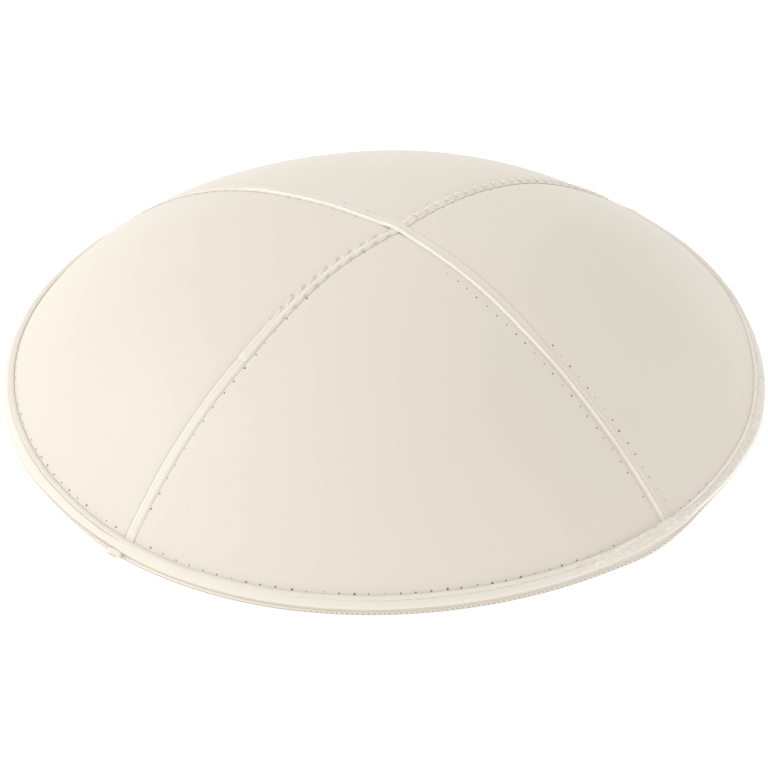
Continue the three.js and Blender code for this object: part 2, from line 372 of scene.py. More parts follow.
def leather_finish(name, colours, roughness, grain, bump, has_wear_and_painted_light=False):
    """Finished leather: two close colours in soft clouds, fine pores, and an uneven polish. Where the mesh
    carries wear and painted light, above 0 is paler, for rubbed wear and painted highlights, and below 0 is
    darker, for soil and painted shade."""
    finish = bpy.data.materials.new(name)
    finish.use_nodes = True
    tree = finish.node_tree
    shader = tree.nodes["Principled BSDF"]
    place = tree.nodes.new("ShaderNodeTexCoord").outputs["Object"]

    def noise(scale, detail):
        inputs = {"Vector": place, "Scale": scale, "Detail": detail}
        return add_node(tree, "ShaderNodeTexNoise", inputs).outputs["Fac"]

    def mix(share, first, second):
        inputs = {"Factor": share, "A": first, "B": second}
        return add_node(tree, "ShaderNodeMix", inputs, data_type="RGBA").outputs["Result"]

    colour = mix(noise(60.0, 3.0), (*colours[0], 1.0), (*colours[1], 1.0))
    # The mesh's wear attribute holds real wear and painted light together: painted highlights above 0,
    # painted shade below 0.
    if has_wear_and_painted_light:
        wear_and_painted_light = add_node(tree, "ShaderNodeAttribute", {}, attribute_name="wear_and_painted_light").outputs["Fac"]
        for most, tint in ((1.0, RUBBED_AND_HIGHLIGHT_CREAM), (-1.0, SOILED_AND_SHADE_CREAM)):
            inputs = {"Value": wear_and_painted_light, "From Min": 0.0, "From Max": most}
            amount = add_node(tree, "ShaderNodeMapRange", inputs).outputs["Result"]
            colour = mix(amount, colour, tint)
    tree.links.new(colour, shader.inputs["Base Color"])

    inputs = {"Value": noise(220.0, 4.0), "To Min": roughness - POLISH_SWING}
    inputs["To Max"] = roughness + POLISH_SWING
    polish = add_node(tree, "ShaderNodeMapRange", inputs)
    tree.links.new(polish.outputs["Result"], shader.inputs["Roughness"])

    pores = add_node(tree, "ShaderNodeTexVoronoi", {"Vector": place, "Scale": grain}).outputs["Distance"]
    rough = add_node(tree, "ShaderNodeMath", {0: pores, 1: noise(grain * 0.8, 5.0)}, operation="ADD")
    inputs = {"Strength": bump, "Distance": GRAIN_DEPTH, "Height": rough.outputs["Value"]}
    lift = add_node(tree, "ShaderNodeBump", inputs)
    tree.links.new(lift.outputs["Normal"], shader.inputs["Normal"])
    shader.inputs["Specular IOR Level"].default_value = 0.35
    return finish


PANEL_CREAM = [(0.775, 0.722, 0.626), (0.795, 0.742, 0.646)]
FLESH_SIDE = [(0.66, 0.585, 0.475), (0.71, 0.635, 0.525)]
# Hole walls and dents: the cut leather's own flesh brown, deepened below it as painted shade.
HOLE_SHADE_BROWN = [(0.52, 0.45, 0.355), (0.58, 0.505, 0.405)]
panel_leather = leather_finish("cream_leather", PANEL_CREAM, 0.52, 1400.0, 0.25)
flesh_side = leather_finish("flesh_side", FLESH_SIDE, 0.85, 900.0, 0.8)
hole_wall_and_shade = leather_finish("needle_hole_wall_painted_shade", HOLE_SHADE_BROWN, 0.85, 2500.0, 0.5)


def panel_object(panel):
    """One panel, with its two edges shaped to the sewn lines beside it."""
    start = SEAMS[panel["from"]]["bearing"]
    angle = (SEAMS[panel["to"]]["bearing"] - start) % 360
    down, side = np.linspace(0, 1, PANEL_ROWS + 1), np.linspace(0, 1, PANEL_COLUMNS + 1)
    down = 0.45 * down + 0.55 * np.sin(np.pi / 2 * down)  # closer together at the rim
    side = side - 0.8 * np.sin(2 * np.pi * side) / (2 * np.pi)  # and at the seams
    fraction, along = np.meshgrid(down, side, indexing="ij")
    bearing = start + angle * along
    slide = outward(np.array(start + angle / 2)) * (SEAM_GAP / 2 / np.sin(np.radians(angle / 2)))
    shift = slide * (1 - fraction)[..., None]
    shift += outward(bearing + 90) * (fraction * (SEAM_GAP / 2) * (1 - 2 * along))[..., None]
    for name, beside in (("from", 1 - along), ("to", along)):
        seam = SEAMS[panel[name]]
        run = np.interp(fraction, seam["fractions"], seam["run"])
        strayed = drift_at(seam, run) * fade(beside, 0.55, 1.0)
        shift += outward(np.array(seam["bearing"] + 90)) * strayed[..., None]
    plan = leather_point(fraction, bearing) + shift
    at_fraction, at_bearing, height = leather_over(plan[..., 0], plan[..., 1])
    outside = np.stack([plan[..., 0], plan[..., 1], height], -1)
    inside = outside - LEATHER * dome_normal(at_fraction, at_bearing)

    size = fraction.size
    number = np.arange(size).reshape(fraction.shape)
    number[0, :] = 0  # the whole top row is one point, the tip
    top, under = number, number + size
    faces, kinds = [], []

    def quads(a, b, c, d, kind):
        for face in np.stack([a, b, c, d], -1).reshape(-1, 4).tolist():
            kept = list(dict.fromkeys(face))
            if len(kept) > 2:
                faces.append(kept)
                kinds.append(kind)

    quads(top[:-1, :-1], top[1:, :-1], top[1:, 1:], top[:-1, 1:], 0)
    quads(under[:-1, :-1], under[:-1, 1:], under[1:, 1:], under[1:, :-1], 1)
    quads(top[:-1, 0], under[:-1, 0], under[1:, 0], top[1:, 0], 0)
    quads(top[:-1, -1], top[1:, -1], under[1:, -1], under[:-1, -1], 0)
    quads(top[-1, :-1], under[-1, :-1], under[-1, 1:], top[-1, 1:], 0)

    points = np.concatenate([outside.reshape(-1, 3), inside.reshape(-1, 3)])
    used = np.unique(np.concatenate([np.ravel(f) for f in faces]))
    renumber = np.zeros(2 * size, int)
    renumber[used] = np.arange(len(used))
    faces = [[int(renumber[i]) for i in face] for face in faces]
    name = panel["name"] + "_leather"
    return solid_object(name, points[used], faces, kinds, [panel_leather, flesh_side])


# ---------- Needle holes ----------
# Rows of holes left by a leather needle, beside the seam tapes and above the rim binding. Each is
# a tapered prick with a dented edge, and the thread inside the leather closes it further down.

HOLE_RADIUS = 0.135
DENT_RADIUS = 0.30
TIP_RADIUS = 0.07
NEEDLE_DEPTH = 0.45
NEEDLE_SIDES = 12
SMALLEST_HOLE = 0.45  # times the needle's size
LARGEST_HOLE = 1.2
STRAY_ALONG = 0.25  # how far a hole may stray along its row, and to the side
STRAY_ASIDE = 0.12
RIM_STRAY = 0.15  # degrees
# Each row runs down one side of a seam, from its first step to its last, with its holes shifted by a
# share of the pitch. The steps are (mm down the seam, mm to the side of the sewn line).
HOLE_ROWS = [
    {"seam": "front_left", "shift": 0.0,
     "side": [(8, 1.35), (26, 1.5), (34, 1.65), (50, 1.9), (75, 1.85), (88, 1.6), (96, 1.45)]},
    {"seam": "front_left", "shift": 0.5, "size": 0.65, "side": [(8, -1.5), (46, -1.55)]},
    {"seam": "front_right", "shift": 0.0,
     "side": [(18, -3.7), (32, -3.4), (41, -3.1), (50, -2.6), (62, -2.4), (68, -2.2), (75, -2.0),
              (91, -1.9)]},
    {"seam": "front_right", "shift": 0.2,
     "side": [(44, 2.3), (57, 2.4), (63, 2.5), (72, 2.35), (80, 2.1), (86, 2.6), (90, 2.8)]},
    {"seam": "back_left", "shift": 0.0, "side": [(8, -1.6), (90, -1.6)]},
    {"seam": "back_left", "shift": 0.3, "side": [(8, 1.7), (90, 1.7)]},
    {"seam": "back_right", "shift": 0.0, "side": [(6, -1.45), (88, -1.45)]},
    {"seam": "back_right", "shift": 0.5, "side": [(6, 1.45), (88, 1.45)]},
]
chance = np.random.default_rng(21)


def beside_seam(seam, fraction, side):
    """Points on the leather to one side of the sewn line, and their fractions and bearings."""
    strayed = side + drift_at(seam, np.interp(fraction, seam["fractions"], seam["run"]))
    bearing = np.full(np.shape(fraction), seam["bearing"])
    plan = plan_on(fraction, bearing) + outward(bearing + 90)[..., :2] * strayed[..., None]
    x, y = plan[..., 0], plan[..., 1]
    at_fraction, at_bearing, height = leather_over(x, y)
    return np.stack([x, y, height], -1), at_fraction, at_bearing


def row_of_holes(row):
    seam = SEAMS[row["seam"]]
    steps = np.array(row["side"])
    first, last = steps[[0, -1], 0] / seam["pitch"]
    count = np.arange(np.ceil(first), np.floor(last))
    run = (count + row["shift"]) * seam["pitch"] + chance.uniform(-STRAY_ALONG, STRAY_ALONG, len(count))
    fraction = np.interp(run, seam["run"], seam["fractions"])
    side = np.interp(run, steps[:, 0], steps[:, 1]) + chance.uniform(-STRAY_ASIDE, STRAY_ASIDE, len(count))
    return beside_seam(seam, fraction, side)


def rim_holes():
    stray = chance.uniform(-RIM_STRAY, RIM_STRAY, RIM_STITCHES)
    bearing = np.arange(RIM_STITCHES) * 360.0 / RIM_STITCHES + stray
    above = hole_line_at(bearing) + chance.uniform(-STRAY_ASIDE, STRAY_ASIDE, RIM_STITCHES)
    fraction = fraction_above_edge(above, bearing)
    clear = np.abs(turn_from(bearing, 2.0)) > 31  # at the right side the binding covers its holes
    clear &= np.abs(turn_from(bearing, 312.6)) > 4.0  # the lapped ends cover theirs
    for seam in SEAMS.values():
        clear &= np.abs(turn_from(bearing, seam["bearing"])) > 1.8
    fraction, bearing = fraction[clear], bearing[clear]
    return leather_point(fraction, bearing), fraction, bearing


seam_rows = [row_of_holes(row) for row in HOLE_ROWS]
rim_row = rim_holes()


def new_tree(name, inputs):
    """A tree from geometry to geometry, with named inputs given as (kind, first value)."""
    tree = bpy.data.node_groups.new(name, "GeometryNodeTree")
    for side in ("INPUT", "OUTPUT"):
        tree.interface.new_socket(name="Geometry", in_out=side, socket_type="NodeSocketGeometry")
    for title, (kind, value) in inputs.items():
        socket = tree.interface.new_socket(name=title, in_out="INPUT", socket_type=kind)
        if value is not None:
            socket.default_value = value
    return tree, tree.nodes.new("NodeGroupInput").outputs


def end_tree(tree, shapes, finish):
    """Makes the tree's shapes real, gives them their finish and hands them out."""
    real = add_node(tree, "GeometryNodeRealizeInstances", {"Geometry": shapes}).outputs["Geometry"]
    paint = add_node(tree, "GeometryNodeSetMaterial", {"Geometry": real, "Material": finish})
    add_node(tree, "NodeGroupOutput", {"Geometry": paint.outputs["Geometry"]})
    return tree


def needle_tree():
    """A tapered needle stood on every point of the mesh, along that point's axis."""
    tree, given = new_tree("punch_needles", {
        "Needle": ("NodeSocketObject", None),
        "Smallest": ("NodeSocketFloat", SMALLEST_HOLE),
        "Largest": ("NodeSocketFloat", LARGEST_HOLE),
        "Seed": ("NodeSocketInt", 4),
    })

    def carried(name, kind):
        node = add_node(tree, "GeometryNodeInputNamedAttribute", {"Name": name}, data_type=kind)
        return node.outputs["Attribute"]

    points = add_node(tree, "GeometryNodeMeshToPoints", {"Mesh": given["Geometry"]})
    inputs = {"Vector": carried("axis", "FLOAT_VECTOR")}
    turn = add_node(tree, "FunctionNodeAlignRotationToVector", inputs, axis="Z")
    shape = add_node(tree, "GeometryNodeObjectInfo", {"Object": given["Needle"]})
    inputs = {"Seed": given["Seed"], "Min": given["Smallest"], "Max": given["Largest"]}
    spread = add_node(tree, "FunctionNodeRandomValue", inputs, data_type="FLOAT")
    inputs = {0: spread.outputs["Value"], 1: carried("size", "FLOAT")}
    scaled = add_node(tree, "ShaderNodeMath", inputs, operation="MULTIPLY")
    stand = add_node(tree, "GeometryNodeInstanceOnPoints", {
        "Points": points.outputs["Points"],
        "Instance": shape.outputs["Geometry"],
        "Rotation": turn.outputs["Rotation"],
        "Scale": scaled.outputs["Value"],
    })
    return end_tree(tree, stand.outputs["Instances"], hole_wall_and_shade)


def bake_mesh(item):
    """Turns the object with its modifiers into a plain mesh."""
    bpy.context.view_layer.update()
    evaluated = item.evaluated_get(bpy.context.evaluated_depsgraph_get())
    made = bpy.data.meshes.new_from_object(evaluated)
    item.modifiers.clear()
    item.data = made


def run_tree(item, tree, inputs):
    """Runs a tree on the object, with its named inputs set, and keeps the mesh that it makes."""
    modifier = item.modifiers.new(tree.name, "NODES")
    modifier.node_group = tree
    for socket in tree.interface.items_tree:
        if socket.in_out == "INPUT" and socket.name in inputs:
            modifier[socket.identifier] = inputs[socket.name]
    bake_mesh(item)


def lathe_needle():
    """The needle's point: a dented shoulder above the leather, then a taper into it. Its axis is Z."""
    outline = [(0.0, 0.35), (0.60, 0.35), (DENT_RADIUS, 0.04)]
    outline += [(HOLE_RADIUS, -0.16), (TIP_RADIUS, -NEEDLE_DEPTH)]
    sides = NEEDLE_SIDES
    points, faces = [(0.0, 0.0, outline[0][1])], []
    for radius, height in outline[1:]:
        for k in range(sides):
            turned = 2 * np.pi * k / sides
            points.append((radius * np.cos(turned), radius * np.sin(turned), height))
    for ring in range(len(outline) - 2):
        for k in range(sides):
            a, b = 1 + ring * sides + k, 1 + ring * sides + (k + 1) % sides
            faces.append((a, a + sides, b + sides, b))
    last = 1 + (len(outline) - 2) * sides
    for k in range(sides):
        faces.append((0, 1 + k, 1 + (k + 1) % sides))
    faces.append(tuple(last + k for k in reversed(range(sides))))
    mesh = bpy.data.meshes.new("needle")
    mesh.from_pydata([tuple(c / 1000 for c in p) for p in points], [], faces)
    return add_object("needle", mesh)


def punch(piece, points, axes, sizes, needle, tree):
    """Cuts a needle hole into the piece at each point, along its axis."""
    mesh = bpy.data.meshes.new("hole_places")
    mesh.from_pydata(to_frame(points).tolist(), [], [])
    attribute = mesh.attributes.new("axis", "FLOAT_VECTOR", "POINT")
    attribute.data.foreach_set("vector", np.array(axes, np.float32).ravel())
    attribute = mesh.attributes.new("size", "FLOAT", "POINT")
    attribute.data.foreach_set("value", np.array(sizes, np.float32))
    cutter = add_object("hole_places", mesh)
    run_tree(cutter, tree, {"Needle": needle, "Smallest": SMALLEST_HOLE, "Largest": LARGEST_HOLE})
    cut = piece.modifiers.new("punch", "BOOLEAN")
    cut.operation = "DIFFERENCE"
    cut.solver = "MANIFOLD"
    cut.object = cutter
    cut.material_mode = "TRANSFER"
    bake_mesh(piece)
    bpy.data.objects.remove(cutter)


needle = lathe_needle()
needle_nodes = needle_tree()
all_rows = seam_rows + [rim_row]
all_points, all_fractions, all_bearings = (np.concatenate(column) for column in zip(*all_rows))
all_axes = dome_normal(all_fractions, all_bearings)
row_sizes = [row.get("size", 1.0) for row in HOLE_ROWS] + [1.0]
all_sizes = np.repeat(row_sizes, [len(row[0]) for row in all_rows])

for panel in PANELS:
    piece = panel_object(panel)
    start = SEAMS[panel["from"]]["bearing"]
    angle = (SEAMS[panel["to"]]["bearing"] - start) % 360
    mine = ((all_bearings - start) % 360) < angle
    punch(piece, all_points[mine], all_axes[mine], all_sizes[mine], needle, needle_nodes)
    piece.data.set_sharp_from_angle(angle=np.radians(40))
    piece.data.update()
    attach(piece, "root")
    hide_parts(panel["name"])
bpy.data.objects.remove(needle)


# ---------- Seam tapes ----------
# Narrow strips of the same leather, skived and finished paler, glued and sewn over the seams. One
# long strip runs over the crown with a raised fold along one edge; two short ones end under it.

TAPE_STEP = 0.30
TAPE_FOOT_UNDER = 1.2  # how far a tape's end goes in under the binding
CROSSING_LIFT = 0.28
TAPE_CREAM = [(0.79, 0.738, 0.645), (0.812, 0.76, 0.667)]
# The tapes' colour carries painted light: painted highlights on folds, cords and crests, painted shade at
# edges, grooves, stitch pits and undersides.
tape_leather = leather_finish("pale_tape_leather", TAPE_CREAM, 0.42, 1700.0, 0.3, True)


def sweep_object(name, sections, wear_and_painted_light, is_ring, materials):
    """A closed bar through a row of sections, each the same number of points."""
    count, size, _ = sections.shape
    number = np.arange(count * size).reshape(count, size)
    faces = []
    for i in range(count if is_ring else count - 1):
        here, ahead = number[i], number[(i + 1) % count]
        for j in range(size):
            k = (j + 1) % size
            faces.append([int(here[j]), int(here[k]), int(ahead[k]), int(ahead[j])])
    if not is_ring:
        faces.append([int(n) for n in number[0]][::-1])
        faces.append([int(n) for n in number[-1]])
    return solid_object(name, sections.reshape(-1, 3), faces, None, materials, wear_and_painted_light)


def wander(run, seed):
    """A slow irregular drift between about -1 and 1 along a run in mm."""
    phases = np.random.default_rng(seed).uniform(0, 2 * np.pi, 4)
    lengths = [23.0, 11.0, 6.1, 3.3]
    weights = [0.45, 0.3, 0.2, 0.15]
    return sum(w * np.sin(2 * np.pi * run / l + p) for w, l, p in zip(weights, lengths, phases))


def tape_sections(seam, fraction, across, profile):
    """Sections at fractions down a seam; profile gives each point's side, lift, and wear with painted
    light.
    """
    bearing = np.full(np.shape(fraction), seam["bearing"])
    strayed = drift_at(seam, np.interp(fraction, seam["fractions"], seam["run"]))
    plan = plan_on(fraction, bearing) + outward(bearing + 90)[:, :2] * strayed[:, None]
    sides, lifts, _ = profile
    x = plan[:, :1] + across[0] * sides
    y = plan[:, 1:] + across[1] * sides
    _, _, height = leather_over(x, y)
    return np.stack([x, y, height], -1) + dome_normal(fraction, bearing)[:, None, :] * lifts[..., None]


UNDER_SHARES = np.array([1.0, 0.5, 0.0, -0.5, -1.0])


def close_under(half, top_side, top_lift, wear_and_painted_light, raised):
    """Adds the tape's underside, which lies close on the leather, to its upper outline, painted darker as
    shade.
    """
    count = len(top_side)
    under_side = half * UNDER_SHARES
    under_lift = np.tile([0.05, 0.03, 0.03, 0.03, 0.05], (count, 1)) + raised
    sides = np.concatenate([top_side, under_side], 1)
    lifts = np.concatenate([top_lift, under_lift], 1)
    return sides, lifts, np.concatenate([wear_and_painted_light, np.full((count, 5), -0.2)], 1)


def each_stitch(run, pitch, offset, width):
    """1 at every stitch along the run and 0 between, as a share of the pitch."""
    apart = (run / pitch + offset + 0.5) % 1 - 0.5
    return peak(apart, 0, width)


def flat_profile(run, total, pitch, sewn_to, lap_at, gathered, seed):
    """The side, lift, and wear with painted light of each point round a short tape's section, all along its
    run.
    Down to sewn_to the stitches gather it into a lumpy cord; below that it lies flat with two low folds.
    The folds and cord get painted highlights; the groove, pits, nicks and one edge get painted shade."""
    shares = np.array([-1, -0.99, -0.93, -0.84, -0.74, -0.64, -0.54, -0.44, -0.34, -0.22, -0.1,
                       0.02, 0.14, 0.26, 0.38, 0.5, 0.6, 0.7, 0.8, 0.89, 0.96, 1.0])
    run = run[:, None]
    half = TAPE_WIDTH / 2 + 0.06 * wander(run, seed)
    sewn = 1 - fade(run, sewn_to - 6, sewn_to + 4)
    sway = wander(run, seed + 1)

    fold_a = peak(shares, -0.42 - 0.10 * sway, 0.15)
    fold_b = peak(shares, 0.48 + 0.10 * wander(run, seed + 2), 0.12)
    groove = peak(shares, 0.04 - 0.12 * sway, 0.10)
    rounded = 0.38 * (1 - np.abs(shares) ** 2.8) ** 0.8 + 0.07
    plain_lift = rounded + 0.045 * fold_a + 0.035 * fold_b - 0.03 * groove
    # Painted highlights on the two folds, painted shade in the groove and as a dark line along one edge.
    plain_tone_and_painted_light = 0.10 + 0.16 * fold_a + 0.13 * fold_b - 0.06 * groove - 0.95 * (shares < -0.80)
    over = 1 - fade(run, lap_at - 0.35, lap_at + 0.35)
    plain_lift += 0.12 * over * (np.abs(shares) < 0.9)
    # Painted shadow just below the lapped end's step, painted highlight on the step's edge.
    plain_tone_and_painted_light -= 0.3 * peak(run, lap_at + 0.3, 0.3)
    plain_tone_and_painted_light += 0.2 * peak(run, lap_at - 0.6, 0.5)

    side = half * shares
    cord = peak(side, 0.42 + 0.20 * np.sin(2 * np.pi * run / pitch) + 0.08 * sway, 0.46)
    lump = 0.72 + 0.28 * (1 - each_stitch(run, pitch, 0.0, 0.22)) + 0.08 * sway
    pits = each_stitch(run, pitch, 0.5, 0.18) * peak(side, -1.05, 0.26)
    pits += 0.8 * each_stitch(run, pitch, 0.22, 0.17) * peak(side, -0.48, 0.22)
    nicks = each_stitch(run, pitch, 0.0, 0.19) * peak(side, 1.20, 0.28)
    sewn_lift = 0.32 * cord * lump - 0.24 * pits - 0.20 * nicks
    sewn_lift = 0.08 + (0.04 + 0.22 * gathered) * (1 - np.abs(shares) ** 6) ** 0.6 + gathered * sewn_lift
    # Painted highlight on the cord, painted shade in the stitch pits and nicks and along one edge; sway
    # adds uneven tone.
    sewn_tone_and_painted_light = 0.05 + gathered * (0.34 * cord**1.5 * lump - 0.95 * pits - 0.75 * nicks)
    sewn_tone_and_painted_light = sewn_tone_and_painted_light - 0.25 * (shares < -0.94) + 0.10 * sway

    top_lift = sewn * sewn_lift + (1 - sewn) * plain_lift
    wear_and_painted_light = sewn * sewn_tone_and_painted_light + (1 - sewn) * plain_tone_and_painted_light
    thin = np.minimum(fade(run, 0.4, 3.0), fade(total - run, 1.2, 3.2))
    top_lift = 0.20 + (top_lift - 0.20) * (0.10 + 0.90 * thin)
    pinch = 1 - 0.06 * sewn * each_stitch(run, pitch, 0.0, 0.2) * (shares > 0)
    return close_under(half, side * pinch, np.maximum(top_lift, 0.07), wear_and_painted_light, 0.0)


def foot_run(seam):
    """How far down its seam a tape ends."""
    above = band_reach_at(seam["bearing"]) - TAPE_FOOT_UNDER
    fraction = fraction_above_edge(above, seam["bearing"])
    return float(np.interp(fraction, seam["fractions"], seam["run"]))


def short_tape(name, seam, sewn_to, lap_at, gathered, seed):
    total = foot_run(seam)
    run = np.arange(0.7, total, TAPE_STEP)
    fraction = np.interp(run, seam["run"], seam["fractions"])
    across = outward(np.array(seam["bearing"] + 90))
    profile = flat_profile(run, total, seam["pitch"], sewn_to, lap_at, gathered, seed)
    sections = tape_sections(seam, fraction, across, profile)
    return sweep_object(name, sections, profile[2], False, [tape_leather])


def folded_profile(run, total, raised, seed):
    """The long tape: a raised fold along its near edge and a flat beside it. Run is below 0 down the
    front right seam, where the fold moves in and widens and the far edge is pressed into the leather."""
    shares = np.array([-1, -0.98, -0.9, -0.78, -0.64, -0.5, -0.38, -0.26, -0.14, -0.02, 0.1,
                       0.2, 0.3, 0.4, 0.5, 0.58, 0.66, 0.74, 0.82, 0.9, 0.96, 1.0])
    run, raised = run[:, None], raised[:, None]
    half = TAPE_WIDTH / 2 + 0.03 * wander(run, seed)
    lower = fade(-run, 36.0, 54.0)
    sides = half * shares - 0.55 * lower * np.clip(shares, 0, 1)
    worn_flat = fade(run, 34.0, 58.0)
    sway = wander(run, seed + 2)
    crest = 1.04 - 0.48 * lower + 0.05 * sway
    spread = 0.20 + 0.04 * lower
    near = np.clip((half - 0.55 * lower - sides) / 0.25, 0, 1)
    far = np.clip((half + sides) / (0.06 + 1.1 * lower), 0, 1)
    flat = (0.36 - 0.10 * lower) * near**0.8 * far**0.8
    ridge = (0.36 + 0.06 * lower) * peak(sides, crest, spread) * near**0.6
    broken = 0.5 + 0.5 * np.sin(2 * np.pi * run / 1.25 + wander(run, seed + 3))
    dashes = lower * broken * peak(sides, crest - 0.80, 0.13)
    second = lower * peak(sides, crest - 1.12, 0.17)
    crumple = 0.05 * (1 - fade(np.abs(run), 8.0, 26.0)) * near
    crumple = crumple * np.sin(sides * 3.1 + run * 2.3) * np.sin(run * 1.7 + sides * 2.0)
    top_lift = 0.06 + (flat + ridge) * (1 - 0.7 * worn_flat) + 0.05 * second - 0.08 * dashes + crumple
    thin = fade(total - np.abs(run), 1.2, 3.6)
    top_lift = 0.14 + (top_lift - 0.14) * (0.12 + 0.88 * thin) + raised

    # Painted highlight along the fold's crest and on the second fold; painted shade in the dashes, the
    # stitch marks and along the far edge.
    bright = peak(sides, crest + 0.10 - 0.08 * lower, 0.24 - 0.05 * lower)
    wear_and_painted_light = (0.95 - 0.10 * lower) * (1 - worn_flat) * bright * (0.9 + 0.15 * sway)
    wear_and_painted_light = wear_and_painted_light + 0.2 * second - 0.4 * dashes
    wear_and_painted_light -= 0.8 * (shares < -0.9) * (1 - lower) * (1 - 0.5 * worn_flat)
    stitches = each_stitch(run, 2.1, 0.0, 0.28) * peak(sides, crest - 0.62, 0.16)
    wear_and_painted_light -= 0.55 * stitches * fade(run, 3.0, 9.0) * (1 - worn_flat)
    return close_under(half, sides, top_lift, np.clip(wear_and_painted_light, -1, 1), 0.9 * raised)


def long_tape(name, up, down, seed):
    across = outward(np.array((up["bearing"] + down["bearing"]) / 2))
    parts, wears_and_painted_light = [], []
    for seam, sign in ((up, -1.0), (down, 1.0)):
        total = foot_run(seam)
        run = np.arange(0.0 if sign < 0 else TAPE_STEP, total, TAPE_STEP)
        fraction = np.interp(run, seam["run"], seam["fractions"])
        crossing = CROSSING_LIFT * (1 - fade(run, 1.2, 4.5))
        profile = folded_profile(run * sign, total, crossing, seed)
        parts.append(tape_sections(seam, fraction, across, profile))
        wears_and_painted_light.append(profile[2])
    sections = np.concatenate([parts[0][::-1], parts[1]])
    wear_and_painted_light = np.concatenate([wears_and_painted_light[0][::-1], wears_and_painted_light[1]])
    return sweep_object(name, sections, wear_and_painted_light, False, [tape_leather])


TAPES = {
    "seam_tape_front_left": short_tape("tape_front_left", SEAMS["front_left"], 40.0, 51.0, 0.9, 5),
    "seam_tape_back_right": short_tape("tape_back_right", SEAMS["back_right"], 200.0, -9.0, 0.6, 6),
    "seam_tape_long": long_tape("tape_long", SEAMS["front_right"], SEAMS["back_left"], 7),
}
for node, tape in TAPES.items():
    tape.data.set_sharp_from_angle(angle=np.radians(60))
    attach(tape, "root")
    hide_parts(node)


# ---------- Thread ----------
# Cream sewing thread, from the lower holes of one row beside the front right seam and from the rim holes
# beside the lapped ends to the edge of the tape or binding beside them. Up the front left seam and down the
# back right one it also crosses the tape in a zigzag.

THREAD_RADIUS = 0.085
THREAD_CREAM = [(0.80, 0.75, 0.665), (0.86, 0.815, 0.735)]
thread_finish = leather_finish("cream_thread", THREAD_CREAM, 0.6, 3000.0, 0.6)


def thread_tree():
    """A round thread swept along every line of the mesh."""
    tree, given = new_tree("thread_along_lines", {
        "Thread Radius": ("NodeSocketFloat", THREAD_RADIUS / 1000),
        "Sides": ("NodeSocketInt", 6),
    })
    lines = add_node(tree, "GeometryNodeMeshToCurve", {"Mesh": given["Geometry"]})
    inputs = {"Radius": given["Thread Radius"], "Resolution": given["Sides"]}
    ring = add_node(tree, "GeometryNodeCurvePrimitiveCircle", inputs)
    inputs = {"Curve": lines.outputs["Curve"], "Profile Curve": ring.outputs["Curve"], "Fill Caps": True}
    tube = add_node(tree, "GeometryNodeCurveToMesh", inputs)
    return end_tree(tree, tube.outputs["Mesh"], thread_finish)


thread_nodes = thread_tree()


def thread_object(name, lines):
    """One mesh of thread from lines of points in mm."""
    points = np.concatenate(lines)
    edges, first = [], 0
    for line in lines:
        edges += [(first + i, first + i + 1) for i in range(len(line) - 1)]
        first += len(line)
    mesh = bpy.data.meshes.new(name)
    mesh.from_pydata(to_frame(points).tolist(), edges, [])
    item = add_object(name, mesh)
    run_tree(item, thread_nodes, {"Thread Radius": THREAD_RADIUS / 1000})
    item.data.shade_smooth()
    return item


def bowed(start, end, start_lift, end_lift, bow, normal):
    """A short line from start to end that stands off the leather between them."""
    share = np.linspace(0, 1, 6)[:, None]
    lift = start_lift + (end_lift - start_lift) * share + bow * 4 * share * (1 - share)
    return start + (end - start) * share + normal * lift


def edge_threads(row, places, low, high):
    """Short thread from each hole of a row in to the tape's fold, between two distances down the seam."""
    lines = []
    points, fractions, bearings = places
    seam = SEAMS[row["seam"]]
    normals = dome_normal(fractions, bearings)
    steps = np.array(row["side"])
    toward = -np.sign(steps[0, 1]) * outward(np.array(seam["bearing"] + 90))
    runs = np.interp(fractions, seam["fractions"], seam["run"])
    for point, normal, run in zip(points, normals, runs):
        if low < run < high:
            gap = abs(np.interp(run, steps[:, 0], steps[:, 1])) - TAPE_WIDTH / 2
            sideways = toward - normal * (toward @ normal)
            lines.append(bowed(point, point + sideways * (gap + 0.25), -0.30, 0.14, 0.0, normal))
    return lines


def rim_threads(low, high):
    """Thread from the rim holes between two bearings, down over the binding's edge."""
    points, fractions, bearings = rim_row
    normals = dome_normal(fractions, bearings)
    lines = []
    for point, normal, bearing in zip(points, normals, bearings):
        if low < bearing % 360 < high:
            away = outward(np.array(bearing))
            downhill = away - normal * (away @ normal)
            downhill /= np.linalg.norm(downhill)
            gap = hole_line_at(bearing) - band_reach_at(bearing)
            share = np.array([0.0, 0.3, 0.6, 1.0, 1.4, 2.2, 3.0])
            lift = np.array([-0.4, -0.05, 0.15, 0.62, 0.98, 1.16, 1.16])
            lines.append(point + downhill * (gap * share)[:, None] + normal * lift[:, None])
    return lines


def zigzag_threads(seam, low, high, near, far):
    """Thread that crosses the tape between two sides of it, up one slant and down the next."""
    runs = np.arange(low, high, seam["pitch"] / 2)
    fraction = np.interp(runs, seam["run"], seam["fractions"])
    sides = np.where(np.arange(len(runs)) % 2 == 0, near, far)
    lines = []
    for i in range(len(runs) - 1):
        share = np.linspace(0, 1, 9)
        at_fraction = fraction[i] + (fraction[i + 1] - fraction[i]) * share
        side = sides[i] + (sides[i + 1] - sides[i]) * share
        points, at, bearing = beside_seam(seam, at_fraction, side)
        lift = 0.36 + 0.20 * peak(side, 0.42, 0.5)
        lift -= 0.75 * (np.abs(share - 0.5) * 2) ** 5
        lines.append(points + dome_normal(at, bearing) * lift[:, None])
    return lines


